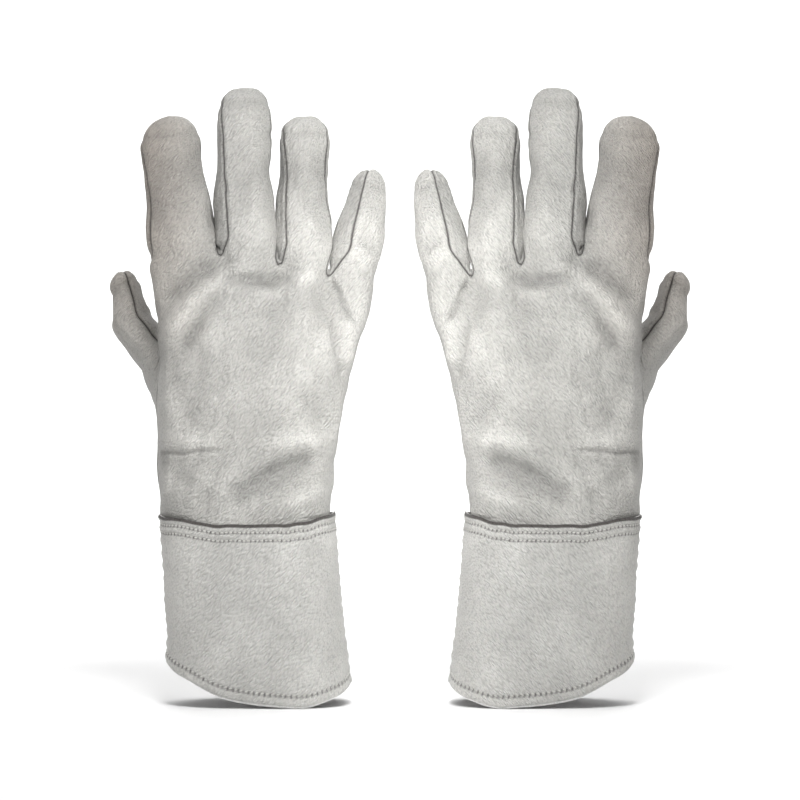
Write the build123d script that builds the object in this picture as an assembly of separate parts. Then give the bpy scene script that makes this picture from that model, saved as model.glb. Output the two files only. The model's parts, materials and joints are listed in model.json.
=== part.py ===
from build123d import *
from collections import namedtuple
import math
import os

# Pair of gauntlet welding gloves, in millimetres. The pair stands on its cuffs with the fingers
# up (+Z) and the backs of the hands towards -Y. The origin is under the middle of the pair.
# Each glove is drawn once, as the right hand's, with its thumb towards -X and its palm towards
# +Y, and then moved to -X. The left hand's glove is its mirror image.

# ---- driving dimensions ----
GLOVE_SPACING = 170.0        # between the middles of the two gloves
DEPTH_SHIFT = -7.64         # puts the middle of the pair's depth on the origin
WALL = 1.2                   # hand leather
CUFF_WALL = 1.4              # cuff leather
FACING_WALL = 0.8            # inner strip along the hem
THREAD = 0.5                 # how far a row of thread stands out of the leather
CLEARANCE = 0.3              # between pieces that move against each other
SEAM_HEIGHT = 1.0            # height of one row of thread

# Cross-sections: height, middle in X, half width, half depth.
CUFF_SECTIONS = [
    (-4.0, 5.4, 54.2, 33.2),
    (14.0, 4.6, 52.4, 32.8),
    (40.0, 3.4, 49.8, 32.0),
    (90.0, -0.5, 48.6, 31.0),
    (112.0, -2.2, 49.6, 31.2),
]
WRIST_SECTIONS = [
    (95.0, -1.0, 46.9, 29.3),
    (108.0, -2.0, 47.6, 29.3),
    (122.0, -2.4, 48.6, 28.6),
    (140.0, -2.5, 49.5, 28.0),
]
# Height, middle in X, half width, half depth, slope down towards the small finger.
HAND_SECTIONS = [
    (140.0, -2.5, 49.5, 28.0, 0.0),
    (170.0, 0.5, 52.5, 27.5, 0.0),
    (200.0, 3.2, 55.0, 25.0, 0.0),
    (226.0, 8.0, 58.5, 20.0, 4.0),
    (240.0, 10.5, 55.0, 14.0, 9.0),
    (246.0, 12.0, 48.0, 8.0, 10.0),
]

# Points along the cuff's edges on each side, seen from the back: X and height.
HEM_LEFT = [(-62, 34), (-48.5, 24), (-33, 15), (-16, 6), (4, 0)]
HEM_RIGHT = [(40, 0), (58, 13.5), (70, 27)]
LAP_EDGE = [(-70, 110), (-51, 106.5), (-20, 102.5), (31, 103.5), (47, 107.5), (66, 112)]
HEM_SEAM_HEIGHT = 6.0        # hem's row of thread above the edge
FACING_HEIGHT = 24.0
LAP_SEAMS = (4.5, 9.0)       # the two rows of thread below the lapped edge

# One finger or the thumb. base is the middle of its root; axis points to its tip and pad to the
# side of its pad. Distances are from the base. Sizes are at the base, the middle and the tip.
Digit = namedtuple("Digit", "name base axis pad length dome hinges folds curls widths depths roll")


def finger(name, base, lean, length, dome, hinges, folds, curls, widths, depths, roll):
    angle = math.radians(lean)
    axis = (math.sin(angle), 0, math.cos(angle))
    return Digit(name, base, axis, (0, 1, 0), length, dome, hinges, folds, curls, widths, depths, roll)


DIGITS = [
    finger("index", (-36.0, -1.0, 248.0), -7.3, 86.0, 13.0, (10.4, 43.0), (8.8, 9.8), (6.0, 10.0),
           (17.8, 16.6, 17.0), (13.4, 12.8, 12.2), 0.0),
    finger("middle", (-2.8, -3.0, 250.0), -0.8, 102.2, 13.0, (11.0, 51.0), (8.8, 9.8), (7.0, 11.0),
           (15.6, 15.2, 15.0), (13.4, 12.8, 12.2), 22.0),
    finger("ring", (30.6, -2.0, 246.0), -0.4, 89.2, 12.5, (10.4, 45.0), (8.6, 9.6), (8.0, 12.0),
           (14.2, 14.2, 13.8), (13.0, 12.4, 11.8), 22.0),
    finger("small", (58.0, 1.0, 241.0), 9.4, 63.4, 11.5, (8.8, 33.0), (7.6, 8.4), (9.0, 12.0),
           (12.4, 12.2, 10.8), (11.4, 10.6, 9.8), -50.0),
    Digit("thumb", (-43.0, 21.0, 179.0), (-37.0, 14.0, 52.0), (0.95, 0.31, 0.0), 79.0, 12.0,
          (18.0, 46.0), (7.6, 7.4), (0.0, 22.0), (17.0, 13.2, 9.8), (13.6, 11.6, 9.4), 0.0),
]
ROOT_DEPTHS = {"thumb": 30.0, "small": 14.0}  # how far a root reaches down into the hand
OTHER_ROOT_DEPTH = 30.0
ROOT_TAPER = 5.0             # how much smaller all round a root is at its lower end
DOME_RISES = (0.0, 0.4, 0.7, 0.9, 0.98)  # shares of the dome's height at its sections
FOLD_ROOM = 6.0              # stretch past a first hinge that the hand's top keeps clear of
OVERRUN = 1.0                # how far a hollow's cutting solid runs past an open end
BLOCK = 200.0                # cutting block, larger than a hand


# ---- one digit ----
def root_frame(digit):
    """Frame at the digit's base: Z along the digit, Y towards its pad."""
    axis = Vector(*digit.axis).normalized()
    pad = Vector(*digit.pad)
    pad = (pad - axis * pad.dot(axis)).normalized()
    return Plane(origin=digit.base, x_dir=pad.cross(axis), z_dir=axis).location


def bent_frame(digit, along):
    """Frame on the digit's bent centre line, at a distance from its base."""
    place = root_frame(digit)
    for hinge, fold, curl in zip(digit.hinges, digit.folds, digit.curls):
        share = min(max((along - hinge + fold) / (2 * fold), 0), 1)
        place = place * Pos(0, 0, hinge) * Rot(X=-curl * share) * Pos(0, 0, -hinge)
    return place * Pos(0, 0, along)


def between(along, digit, sizes):
    """Half size at a distance from the base, straight between base, second hinge and dome."""
    stations = (0.0, digit.hinges[1], digit.length - digit.dome)
    place = min(max(along, 0.0), stations[2])
    first = 0 if place < stations[1] else 1
    share = (place - stations[first]) / (stations[first + 1] - stations[first])
    return sizes[first] + share * (sizes[first + 1] - sizes[first])


def section(digit, along, inset):
    """Ellipse across the digit, smaller all round by the inset."""
    width = between(along, digit, digit.widths) - inset
    depth = between(along, digit, digit.depths) - inset
    dome_start = digit.length - digit.dome
    rise = max(along - dome_start, 0) / (digit.dome - inset)
    round_off = math.sqrt(1 - rise * rise)
    return bent_frame(digit, along) * Ellipse(width * round_off, depth * round_off)


def tube(digit, start, end):
    """Sleeve between two distances, open at both ends."""
    middle = (start + end) / 2
    outer = [section(digit, along, 0) for along in (start, middle, end)]
    hollow = [section(digit, along, WALL) for along in (start - OVERRUN, middle, end + OVERRUN)]
    return loft(outer, ruled=True) - loft(hollow, ruled=True)


def fold_ring(digit, number):
    """Soft ring that bends at one hinge, between the two stiff stretches."""
    hinge = digit.hinges[number]
    reach = digit.folds[number] - CLEARANCE
    return tube(digit, hinge - reach, hinge + reach)


def lower_sleeve(digit):
    """Stiff stretch between the two folds."""
    return tube(digit, digit.hinges[0] + digit.folds[0], digit.hinges[1] - digit.folds[1])


def domed_solid(digit, start, inset):
    """Closed end of the digit from a distance along it, smaller all round by the inset."""
    dome_start = digit.length - digit.dome
    distances = [dome_start + (digit.dome - inset) * rise for rise in DOME_RISES]
    return loft([section(digit, along, inset) for along in [start, *distances]], ruled=True)


def tip_halves(digit):
    """Back and front of the closed end, parted along its side seams."""
    start = digit.hinges[1] + digit.folds[1]
    shell = domed_solid(digit, start, 0) - domed_solid(digit, start - OVERRUN, WALL)
    middle = bent_frame(digit, start) * Rot(Z=digit.roll)
    back, front = (middle * Pos(0, side * BLOCK / 2, 0) * Box(BLOCK, BLOCK, BLOCK) for side in (-1, 1))
    return shell & back, shell & front


def root_end(digit):
    """Distance at which the digit's stiff root ends and its first fold begins."""
    return digit.hinges[0] - digit.folds[0]


def root_solid(digit, inset, end):
    """Digit's root, from inside the hand up to the given distance."""
    start = -ROOT_DEPTHS.get(digit.name, OTHER_ROOT_DEPTH)
    foot = section(digit, start, inset + ROOT_TAPER)
    return loft([foot, section(digit, 0, inset), section(digit, end, inset)], ruled=True)


# ---- the hand ----
def hand_solid(inset):
    """Hand between wrist and webs, flat ended below and closed above."""
    faces = []
    for number, (height, middle, half_width, half_depth, slope) in enumerate(HAND_SECTIONS):
        last = number == len(HAND_SECTIONS) - 1
        lift = -inset if last else 0.0
        place = Pos(middle, 0, height + lift) * Rot(Y=slope)
        faces.append(place * Ellipse(half_width - inset, half_depth - inset))
    return loft(faces)


def hand_panels():
    """Back, palm and thumb gusset of the hand, ending at the first fold of each digit."""
    *fingers, thumb = DIGITS
    outer = hand_solid(0)
    hollow = hand_solid(WALL)
    folds = []
    for digit in fingers:
        end = root_end(digit)
        outer += root_solid(digit, 0, end)
        hollow += root_solid(digit, WALL, end + OVERRUN)
        stations = (end, digit.hinges[0], digit.hinges[0] + FOLD_ROOM)
        folds.append(loft([section(digit, along, -CLEARANCE) for along in stations], ruled=True))
    wrist_height = HAND_SECTIONS[0][0]
    below = Pos(0, 0, wrist_height - BLOCK / 2) * Box(BLOCK, BLOCK, BLOCK)
    shell = outer - hollow - below
    for fold in folds:
        shell -= fold
    thumb_hollow = root_solid(thumb, WALL, root_end(thumb) + OVERRUN)
    gusset = root_solid(thumb, 0, root_end(thumb)) - thumb_hollow - outer
    back = shell.split(Plane.XZ, keep=Keep.TOP)
    palm = shell.split(Plane.XZ, keep=Keep.BOTTOM) - thumb_hollow
    return largest(back), largest(palm), largest(gusset)


# ---- wrist and cuff ----
def stacked(sections, inset):
    """Solid through level ellipses."""
    return loft([
        Pos(middle, 0, height) * Ellipse(half_width - inset, half_depth - inset)
        for height, middle, half_width, half_depth in sections
    ])


def wrist_fold():
    """Soft wrist: it starts inside the cuff's lap and ends at the hand."""
    (bottom, *foot), *between_ends, (top, *head) = WRIST_SECTIONS
    outer = [(bottom, *foot), *between_ends, (top - CLEARANCE, *head)]
    hollow = [(bottom - OVERRUN, *foot), *between_ends, (top + OVERRUN, *head)]
    return stacked(outer, 0) - stacked(hollow, WALL)


def upright(points):
    return [(across, 0, height) for across, height in points]


def hem_line():
    left = Spline(upright(HEM_LEFT), tangents=[(1, 0, -0.8), (1, 0, 0)])
    right = Spline(upright(HEM_RIGHT), tangents=[(1, 0, 0), (1, 0, 1)])
    return Curve() + [left, Line(left @ 1, right @ 0), right]


def lap_line():
    return Curve() + [Spline(upright(LAP_EDGE))]


def cuff_pieces():
    """Back, palm, inner facing and the rows of thread."""
    hem = hem_line()
    lap = lap_line()
    body = stacked(CUFF_SECTIONS, 0)
    lining_face = stacked(CUFF_SECTIONS, CUFF_WALL)
    shell = (body - lining_face) & band(hem, 0, lap, 0)
    facing = (lining_face - stacked(CUFF_SECTIONS, CUFF_WALL + FACING_WALL))
    facing = facing & band(hem, 1.0, hem, FACING_HEIGHT)
    skin = stacked(CUFF_SECTIONS, -THREAD) - body
    hem_thread = skin & band(hem, HEM_SEAM_HEIGHT, hem, HEM_SEAM_HEIGHT + SEAM_HEIGHT)
    rows = [skin & band(lap, -drop, lap, SEAM_HEIGHT - drop) for drop in LAP_SEAMS]
    back = shell.split(Plane.XZ, keep=Keep.TOP)
    palm = shell.split(Plane.XZ, keep=Keep.BOTTOM)
    return {
        "cuff_back": back,
        "cuff_palm": palm,
        "cuff_facing": facing,
        "hem_thread": hem_thread,
        "cuff_thread": rows[0] + rows[1],
    }


def band(lower, lower_lift, upper, upper_lift):
    """Block between two lines seen from the back, each lifted, right through the glove."""
    bottom = Pos(0, 0, lower_lift) * lower
    top = Pos(0, 0, upper_lift) * upper
    low = sorted(bottom.vertices(), key=lambda corner: corner.X)
    high = sorted(top.vertices(), key=lambda corner: corner.X)
    sides = [Line(low[0], high[0]), Line(low[-1], high[-1])]
    face = make_face([*bottom.edges(), *top.edges(), *sides])
    return extrude(face, amount=BLOCK / 2, dir=(0, 1, 0), both=True)


def largest(shape):
    return max(shape.solids(), key=lambda solid: solid.volume)


# ---- the whole pair ----
def glove_nodes():
    """Every piece of one glove, in the glove's own frame."""
    nodes = cuff_pieces()
    nodes["wrist_fold"] = wrist_fold()
    nodes["hand_back"], nodes["hand_palm"], nodes["thumb_gusset"] = hand_panels()
    *fingers, thumb = DIGITS
    thumb_fold = fold_ring(thumb, 0) - hand_solid(-CLEARANCE)
    nodes["root_folds"] = Part() + [fold_ring(digit, 0) for digit in fingers] + thumb_fold
    for digit in DIGITS:
        nodes[f"{digit.name}_lower"] = lower_sleeve(digit)
        nodes[f"{digit.name}_knuckle_fold"] = fold_ring(digit, 1)
        back, front = tip_halves(digit)
        nodes[f"{digit.name}_tip_back"] = back
        nodes[f"{digit.name}_tip_front"] = front
    return nodes


def write(name, solids):
    export_step(solids[0] if len(solids) == 1 else Compound(children=solids), f"parts/{name}.step")


def main():
    os.makedirs("parts", exist_ok=True)
    place = Pos(-GLOVE_SPACING / 2, DEPTH_SHIFT, 0)
    for name, shape in glove_nodes().items():
        right = [place * solid for solid in shape.solids()]
        write(f"right_{name}", right)
        write(f"left_{name}", [solid.mirror(Plane.YZ) for solid in right])


if __name__ == "__main__":
    main()
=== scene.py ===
import json
import math

import bpy
import numpy as np
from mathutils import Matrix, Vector, kdtree, noise


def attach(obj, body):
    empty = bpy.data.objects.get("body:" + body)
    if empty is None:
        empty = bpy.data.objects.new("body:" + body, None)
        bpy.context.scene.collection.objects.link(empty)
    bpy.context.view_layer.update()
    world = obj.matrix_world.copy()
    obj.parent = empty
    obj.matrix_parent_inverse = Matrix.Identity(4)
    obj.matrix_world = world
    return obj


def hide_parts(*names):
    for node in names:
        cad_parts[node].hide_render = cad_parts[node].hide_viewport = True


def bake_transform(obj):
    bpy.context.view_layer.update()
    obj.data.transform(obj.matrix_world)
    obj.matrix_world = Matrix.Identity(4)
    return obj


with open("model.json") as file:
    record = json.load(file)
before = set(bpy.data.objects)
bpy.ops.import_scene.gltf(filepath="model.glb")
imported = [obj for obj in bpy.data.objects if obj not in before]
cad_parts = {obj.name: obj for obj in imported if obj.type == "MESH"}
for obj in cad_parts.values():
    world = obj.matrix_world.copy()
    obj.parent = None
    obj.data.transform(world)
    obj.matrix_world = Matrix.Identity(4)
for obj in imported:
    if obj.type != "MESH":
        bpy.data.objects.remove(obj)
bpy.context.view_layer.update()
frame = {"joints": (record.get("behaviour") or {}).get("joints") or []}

# The gloves are drawn in millimetres in the right hand glove's own frame: X towards the small
# finger, Y towards the palm, Z towards the fingertips, with Z 0 on the ground. The left hand's
# glove is its mirror image.
MM = 0.001
JOINTS = {joint["name"]: joint for joint in frame["joints"]}
WRIST = np.array(JOINTS["right_wrist"]["pos_m"]) / MM
ORIGIN = np.array([WRIST[0], WRIST[1], 0.0])
SIDES = ("right", "left")

# ---- sizes of the leather shell, in millimetres ----
WALL = 1.2                   # hand leather
WEB_SEGMENTS = 8             # across a finger's side strip
ROW_STEP = 1.6               # between rows of the shell
HAND_START = 96.0            # lower end of the hand leather, inside the cuff
WRIST_FOLD = (109.0, 139.0)  # heights between which the wrist bends
HAND_ROUNDNESS = 2.7         # superellipse power of the hand's cross-section
DIGIT_ROUNDNESS = 2.15
DOME_ROUNDNESS = 2.1         # of a fingertip, seen from the back
KNUCKLE_REACH = 46.0         # how far the finger columns show below the webs
WEB_BLEND = 11.0             # stretch over which neighbouring fingers part
ROLL_BLEND = 14.0            # stretch over which a finger takes on its roll

# Hand between wrist and webs: height, middle in X, half width, half depth of back and of palm.
HAND_PROFILE = np.array([
    [94.0, -1.2, 46.6, 29.0, 29.0],
    [108.0, -2.2, 47.8, 29.2, 29.0],
    [116.0, -2.2, 48.0, 28.8, 28.8],
    [138.0, -2.6, 49.0, 27.8, 28.0],
    [148.0, -1.4, 50.4, 27.6, 27.8],
    [160.0, -0.2, 51.8, 27.0, 27.5],
    [172.0, 0.7, 52.9, 26.4, 27.2],
    [186.0, 1.6, 53.8, 25.2, 26.4],
    [200.0, 3.4, 55.4, 23.6, 24.8],
    [216.0, 6.4, 58.4, 21.0, 22.0],
    [234.0, 8.4, 61.2, 16.6, 17.4],
    [256.0, 9.0, 63.0, 14.5, 14.5],
])

# Each digit: columns across its back, distance from its base to its first hinge, half lengths of
# its two folds, bends at rest, length, height of the rounded end, how far it is rolled about its
# own line at its base and at its tip, and half widths and half depths at even steps from the base
# to the rounded end.
DIGITS = {
    "index": dict(
        columns=22, first=10.4, folds=(8.8, 9.8), curls=(6, 10), length=86.0, dome=17.0, rolls=(30, 16),
        widths=(19.2, 19.2, 18.1, 17.3, 17.3), depths=(13.6, 13.4, 12.8, 12.6, 12.4)),
    "middle": dict(
        columns=20, first=11.0, folds=(8.8, 9.8), curls=(7, 11), length=102.2, dome=17.0, rolls=(32, 2),
        widths=(16.8, 16.9, 16.6, 16.0, 15.6), depths=(13.6, 13.4, 12.8, 12.6, 12.4)),
    "ring": dict(
        columns=19, first=10.4, folds=(8.6, 9.6), curls=(8, 12), length=89.2, dome=15.5, rolls=(26, 4),
        widths=(15.4, 15.3, 15.0, 14.6, 14.5), depths=(13.2, 13.0, 12.4, 12.2, 12.0)),
    "small": dict(
        columns=16, first=8.8, folds=(7.6, 8.4), curls=(9, 12), length=64.4, dome=15.0, rolls=(40, 42),
        widths=(13.6, 13.9, 13.2, 12.0, 10.4), depths=(11.6, 11.2, 10.6, 10.2, 9.6)),
    "thumb": dict(
        columns=0, first=18.0, folds=(7.6, 7.4), curls=(0, 22), length=79.0, dome=12.0, rolls=(0, 0),
        widths=(18.0, 16.4, 13.8, 11.8, 9.4), depths=(14.0, 13.0, 12.0, 11.0, 9.2)),
}
FINGERS = ("index", "middle", "ring", "small")
SIDE_STRIP = 32.0            # half angle that a side strip takes of a finger's section, in degrees
DOME_ROWS = 11
THUMB_COLUMNS = (137, 152)   # the hole that the thumb is set into, by the hand's columns
THUMB_HEIGHTS = (158.0, 202.0)
THUMB_BLEND = 20.0
WEB_RISE = 4.0               # of a web between back and palm
CROTCH_SHIFTS = ((3.0, 3.0), (2.0, -1.0), (-0.5, -4.0))   # of each web, in X and Z


# ---- helpers on arrays ----
def smooth(share):
    """Smooth step from 0 to 1."""
    share = np.clip(share, 0.0, 1.0)
    return share * share * (3 - 2 * share)


def unit(vector):
    vector = np.asarray(vector, float)
    return vector / np.linalg.norm(vector, axis=-1, keepdims=True)


class Digit:
    """Bent centre line and cross-section of a finger or the thumb, set by the frame's hinges."""

    def __init__(self, name, columns, first, folds, curls, length, dome, rolls, widths, depths):
        base_joint = JOINTS[f"right_{name}_base"]
        knuckle_joint = JOINTS[f"right_{name}_knuckle"]
        hinge = np.array(base_joint["pos_m"]) / MM - ORIGIN
        knuckle = np.array(knuckle_joint["pos_m"]) / MM - ORIGIN
        side = -unit(base_joint["axis"])
        forward = unit(knuckle - hinge)
        pad = np.cross(forward, side)
        curl = math.radians(curls[0])
        self.axes = np.array([
            side,
            math.cos(curl) * pad + math.sin(curl) * forward,
            math.cos(curl) * forward - math.sin(curl) * pad,
        ])
        self.name = name
        self.columns = columns
        self.hinges = (first, first + np.linalg.norm(knuckle - hinge))
        self.base = hinge - first * self.axes[2]
        self.folds = folds
        self.curls = [math.radians(curl) for curl in curls]
        self.length = length
        self.dome = dome
        self.rolls = [math.radians(roll) for roll in rolls]
        self.widths = widths
        self.depths = depths

    def place(self, along, across, deep):
        """Points at distances along the bent line, across it and towards the pad."""
        tilt = np.zeros_like(along)
        y = np.zeros_like(along)
        z = along.astype(float)
        for number in (1, 0):
            hinge, fold = self.hinges[number], self.folds[number]
            turn = self.curls[number] * smooth((along - hinge + fold) / (2 * fold))
            rise = z - hinge
            z = hinge + rise * np.cos(turn) - y * np.sin(turn)
            y = y * np.cos(turn) + rise * np.sin(turn)
            tilt = tilt + turn
        local = np.stack([across, y + deep * np.cos(tilt), z - deep * np.sin(tilt)], axis=-1)
        return self.base + local @ self.axes

    def ring(self, along, angle):
        """Points on the digit's skin. Angle 0 is its thumb side and 90 degrees its back."""
        end = self.length - self.dome
        steps = np.linspace(0, end, len(self.widths))
        rise = np.clip((along - end) / self.dome, 0, 1)
        rounding = (1 - rise ** DOME_ROUNDNESS) ** (1 / DOME_ROUNDNESS)
        cosine, sine = np.cos(angle), np.sin(angle)
        power = DIGIT_ROUNDNESS
        reach = (np.abs(cosine) ** power + np.abs(sine) ** power) ** (-1 / power)
        width = np.interp(along, steps, self.widths) * rounding * reach
        depth = np.interp(along, steps, self.depths) * rounding * reach
        return self.place(along, -cosine * width, -sine * depth)

    def rows(self):
        """Distances of the shell's rows, with one at the root's end and one between the folds."""
        root_end = self.hinges[0] - self.folds[0]
        split = self.split()
        end = self.length - self.dome
        stretches = [(0.0, root_end), (root_end, split), (split, end)]
        rows = [0.0]
        for low, high in stretches:
            count = max(int(round((high - low) / ROW_STEP)), 1)
            rows += list(np.linspace(low, high, count + 1)[1:])
        turns = np.arange(1, DOME_ROWS) / DOME_ROWS * math.pi / 2
        return np.array(rows + list(end + self.dome * np.sin(turns)))

    def split(self):
        """Distance at which the lower and the upper piece of the digit meet."""
        return (self.hinges[0] + self.folds[0] + self.hinges[1] - self.folds[1]) / 2


digits = {name: Digit(name, **sizes) for name, sizes in DIGITS.items()}


# ---- the hand's shell as one surface ----
class Surface:
    """Points and four-sided faces, each face with the panel and the stretch it belongs to."""

    def __init__(self):
        self.points = []
        self.faces = []
        self.panels = []
        self.stretches = []
        self.count = 0

    def add(self, points):
        """Adds points and returns their numbers, in the same shape."""
        points = np.asarray(points, float)
        numbers = np.arange(self.count, self.count + points[..., 0].size)
        self.points.append(points.reshape(-1, 3))
        self.count += numbers.size
        return numbers.reshape(points.shape[:-1])

    def skin(self, rows, panels, stretches):
        """Faces between closed rings of point numbers; one panel per column, one stretch per row."""
        low, high = rows[:-1], rows[1:]
        faces = np.stack([low, np.roll(low, -1, 1), np.roll(high, -1, 1), high], axis=-1)
        self.faces.append(faces.reshape(-1, 4))
        for stretch in stretches:
            self.panels += list(panels)
            self.stretches += [stretch] * len(panels)

    def finish(self):
        self.points = np.concatenate(self.points)
        self.faces = np.concatenate(self.faces)
        self.panels = np.array(self.panels)
        self.stretches = np.array(self.stretches)


def ring_layout(number):
    """Round one finger: the angle of each point and the panel of each segment."""
    finger = digits[FINGERS[number]]
    first, last = number == 0, number == len(FINGERS) - 1
    low = 0.0 if first else SIDE_STRIP
    high = 180.0 if last else 180.0 - SIDE_STRIP
    runs = [("back", low, high, finger.columns)]
    if not last:
        runs.append((f"web_{number + 1}", high, 360 - high, WEB_SEGMENTS))
    runs.append(("palm", 360 - high, 360 - low, finger.columns))
    if not first:
        runs.append((f"web_{number}", 360 - low, 360 + low, WEB_SEGMENTS))
    angles = np.concatenate([np.linspace(a, b, n + 1)[:-1] for _, a, b, n in runs])
    panels = [name for name, _, _, n in runs for _ in range(n)]
    return np.radians(angles), panels


COLUMN_STARTS = np.cumsum([0] + [digits[name].columns for name in FINGERS])
HALF_COLUMNS = int(COLUMN_STARTS[-1])
ALL_COLUMNS = 2 * HALF_COLUMNS


def root_rings():
    """Top edge of the hand, the fingers' directions along it, and the lines across the webs."""
    rings = []
    for number, name in enumerate(FINGERS):
        angles, _ = ring_layout(number)
        rings.append(digits[name].ring(np.zeros(len(angles)), angles))
    top = np.zeros((ALL_COLUMNS, 3))
    axes = np.zeros((ALL_COLUMNS, 3))
    shares = np.zeros(ALL_COLUMNS)
    for number, name in enumerate(FINGERS):
        columns = digits[name].columns
        start = COLUMN_STARTS[number]
        last = number == len(FINGERS) - 1
        palm_first = columns + (0 if last else WEB_SEGMENTS)
        for step in range(columns + 1):
            palm_place = (ALL_COLUMNS - start - columns + step) % ALL_COLUMNS
            palm_step = (palm_first + step) % len(rings[number])
            for place, member in ((start + step, step), (palm_place, palm_step)):
                top[place] += rings[number][member]
                axes[place] += digits[name].axes[2]
                shares[place] += 1
    top /= shares[:, None]
    axes = unit(axes)
    places = np.arange(ALL_COLUMNS)
    for crotch, (across, up) in zip(COLUMN_STARTS[1:-1], CROTCH_SHIFTS):
        for centre in (crotch, ALL_COLUMNS - crotch):
            gap = np.abs((places - centre + HALF_COLUMNS) % ALL_COLUMNS - HALF_COLUMNS)
            top += np.exp(-(gap / 4.0) ** 2)[:, None] * np.array([across, 0.0, up])
    lines = []
    for crotch in COLUMN_STARTS[1:-1]:
        share = np.linspace(0, 1, WEB_SEGMENTS + 1)[1:-1, None]
        line = top[crotch] * (1 - share) + top[ALL_COLUMNS - crotch] * share
        line[:, 2] += WEB_RISE * np.sin(np.pi * share[:, 0])
        lines.append(line)
    return top, axes, lines


def hand_rows(top, axes):
    """Rows of the hand from inside the cuff up to its top edge."""
    count = int(round((top[:, 2].mean() - HAND_START) / ROW_STEP))
    share = np.linspace(0, 1, count + 1)[:, None]
    height = HAND_START + (top[:, 2] - HAND_START) * share
    low, high = top[:, 0].min(), top[:, 0].max()
    place = np.clip((top[:, 0] - (low + high) / 2) / ((high - low) / 2), -1, 1)
    middle, width, back, palm = (np.interp(height, HAND_PROFILE[:, 0], HAND_PROFILE[:, n])
                                 for n in (1, 2, 3, 4))
    depth = (1 - np.abs(place) ** HAND_ROUNDNESS) ** (1 / HAND_ROUNDNESS)
    on_back = np.arange(ALL_COLUMNS) < HALF_COLUMNS
    plain = np.stack([middle + width * place, np.where(on_back, -back, palm) * depth, height], axis=-1)
    drawn_down = top - axes * ((top[:, 2] - height) / axes[:, 2])[..., None]
    reach = np.clip((height - top[:, 2] + KNUCKLE_REACH) / KNUCKLE_REACH, 0, 1)
    weight = (smooth(reach) ** 1.6)[..., None]
    return plain * (1 - weight) + drawn_down * weight


def add_finger(surface, number, top_numbers, line_numbers):
    """Skin of one finger from the hand's edge to its closed end."""
    finger = digits[FINGERS[number]]
    angles, panels = ring_layout(number)
    start, columns = COLUMN_STARTS[number], finger.columns
    palm = [(ALL_COLUMNS - start - columns + step) % ALL_COLUMNS for step in range(columns + 1)]
    root = list(top_numbers[start:start + columns + 1])
    if number < len(FINGERS) - 1:
        root += list(line_numbers[number])
    else:
        palm = palm[1:]
    root += [top_numbers[place] for place in palm]
    if number > 0:
        root += list(line_numbers[number - 1][::-1])
    else:
        root = root[:-1]
    rows = finger.rows()
    along = np.repeat(rows[:, None], len(angles), 1)
    share = np.clip(along / finger.length, 0, 1)
    roll = (finger.rolls[0] * (1 - share) + finger.rolls[1] * share) * smooth(along / ROLL_BLEND)
    skin = finger.ring(along, angles + roll)
    own = np.concatenate(surface.points)[root]
    parting = (1 - smooth(along / WEB_BLEND))[..., None]
    skin = skin + (own - skin[0]) * parting
    numbers = np.vstack([[root], surface.add(skin[1:])])
    close_digit(surface, finger, numbers, panels, rows)


def close_digit(surface, digit, numbers, panels, rows):
    """Faces of a digit with its closed end, in its three stretches."""
    tip = surface.add(digit.ring(np.array([digit.length]), np.array([0.0])))
    numbers = np.vstack([numbers, np.full(numbers.shape[1], tip[0])])
    bounds = (digit.hinges[0] - digit.folds[0], digit.split())
    middles = np.append((rows[:-1] + rows[1:]) / 2, digit.length)
    stretches = ["hand" if m < bounds[0] else "root" if m < bounds[1] else "tip" for m in middles]
    stretches = [s if s == "hand" else f"{digit.name}_{s}" for s in stretches]
    surface.skin(numbers, panels, stretches)


def hole_loop(heights):
    """Rows and columns round the thumb's hole, in order."""
    first, last = THUMB_COLUMNS
    low, high = (int(np.argmin(np.abs(heights - height))) for height in THUMB_HEIGHTS)
    loop = [(low, column) for column in range(first, last)]
    loop += [(row, last) for row in range(low, high)]
    loop += [(high, column) for column in range(last, first, -1)]
    loop += [(row, first) for row in range(high, low, -1)]
    return loop, (low, high)


def round_hole(rows, loop):
    """Moves the edge of the thumb's hole from the grid's rectangle to an oval."""
    flat = rows.copy()
    place = np.array(loop, float)
    centre = (place.min(axis=0) + place.max(axis=0)) / 2
    half = (place.max(axis=0) - place.min(axis=0)) / 2
    reach = (place - centre) / half
    oval = centre + reach / np.linalg.norm(reach, axis=1, keepdims=True) * half * 1.04
    base = np.floor(oval).astype(int)
    share = oval - base
    for (row, column), (low, left), (up, across) in zip(loop, base, share):
        left_edge = flat[low, left] * (1 - up) + flat[low + 1, left] * up
        right_edge = flat[low, left + 1] * (1 - up) + flat[low + 1, left + 1] * up
        rows[row, column] = left_edge * (1 - across) + right_edge * across


def add_thumb(surface, loop_numbers):
    """Skin of the thumb from the edge of its hole."""
    thumb = digits["thumb"]
    edge = np.concatenate(surface.points)[loop_numbers]
    local = (edge - thumb.base) @ thumb.axes.T
    found = np.unwrap(np.arctan2(-local[:, 1] / thumb.depths[0], -local[:, 0] / thumb.widths[0]))
    direction = math.copysign(2 * math.pi, found[-1] - found[0])
    even = np.arange(len(loop_numbers)) / len(loop_numbers) * direction
    angles = even + (found - even).mean()
    rows = thumb.rows()
    along = np.repeat(rows[:, None], len(angles), 1)
    skin = thumb.ring(along, np.broadcast_to(angles, along.shape))
    skin = skin + (edge - skin[0]) * (1 - smooth(along / THUMB_BLEND))[..., None]
    numbers = np.vstack([[loop_numbers], surface.add(skin[1:])])
    panels = ["thumb_back" if math.sin(angle) > 0 else "thumb_front" for angle in angles]
    close_digit(surface, thumb, numbers, panels, rows)


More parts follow.
